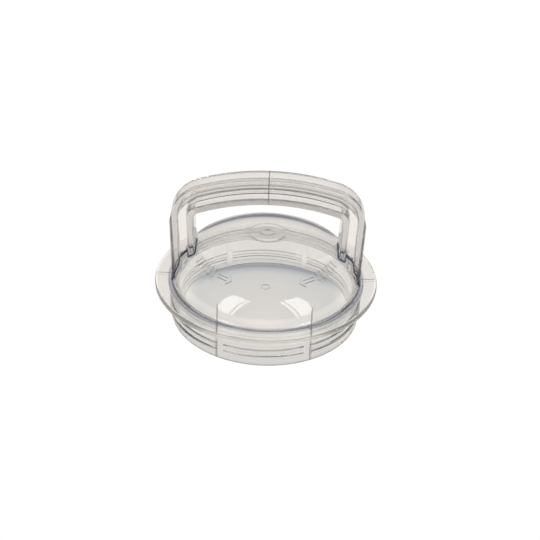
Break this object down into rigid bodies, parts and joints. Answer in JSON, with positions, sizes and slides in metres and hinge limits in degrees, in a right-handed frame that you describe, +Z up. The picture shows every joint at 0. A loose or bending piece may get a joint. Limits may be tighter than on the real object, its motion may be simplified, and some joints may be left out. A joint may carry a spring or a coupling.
{
  "type": "clear pot lid with handle",
  "caption": "Clear domed screw-in lid for a round plumbing pot, with a flat flange, threaded skirt, O-ring and fixed arch handle.",
  "frame": {"origin": "centre of the skirt's lower edge, on the surface that the lid stands on", "axes": "+Z up along the lid's axis; the handle spans the lid along X"},
  "size_m": [0.17, 0.17, 0.118],
  "materials": {
    "clear_lid": "clear gloss",
    "clear_handle": "clear gloss",
    "clear_seal": "translucent satin"
  },
  "bodies": {
    "root": {"lid_shell": "clear_lid", "handle": "clear_handle", "seal_ring": "clear_seal"}
  },
  "joints": []
}
